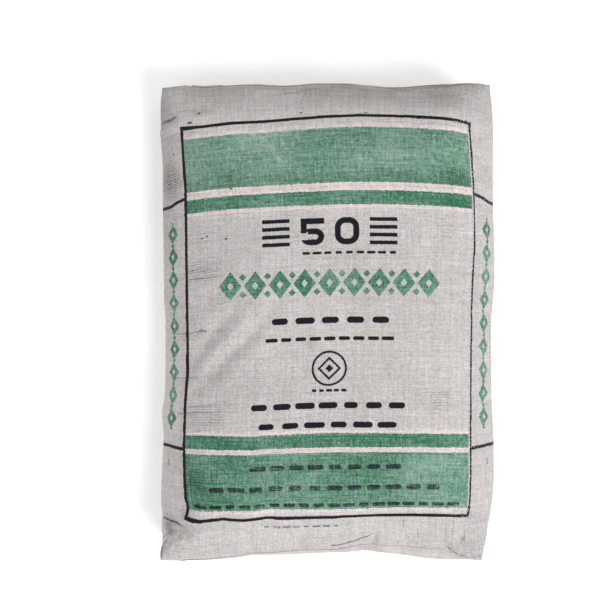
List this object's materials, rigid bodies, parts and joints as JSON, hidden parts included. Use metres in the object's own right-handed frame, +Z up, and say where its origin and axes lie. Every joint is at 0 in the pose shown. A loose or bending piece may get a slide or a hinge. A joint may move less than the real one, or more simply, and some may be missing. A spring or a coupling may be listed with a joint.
{
  "type": "cement bag",
  "caption": "Full block-bottom valve sack of woven plastic fabric packed with cement powder, lying flat with its printed face up.",
  "frame": {"origin": "on the floor, under the middle of the bag's bounding box", "axes": "+Z up, out of the printed face; +Y along the bag's length, towards the top of the print and the end with the filling valve; +X across its width, to the right of the print"},
  "size_m": [0.4334, 0.604, 0.15],
  "materials": {
    "woven_fabric": "coated woven polypropylene tape, off-white, printed, slightly dusty",
    "patch_fabric": "coated woven polypropylene tape, off-white, unprinted",
    "sleeve_fabric": "coated woven polypropylene tape, off-white, unprinted",
    "cement_powder": "fine grey powder, packed"
  },
  "bodies": {
    "root": {"woven_sack": "woven_fabric", "cement_fill": "cement_powder", "valve_sleeve": "sleeve_fabric", "top_cover_patch": "patch_fabric", "bottom_cover_patch": "patch_fabric"}
  },
  "joints": []
}
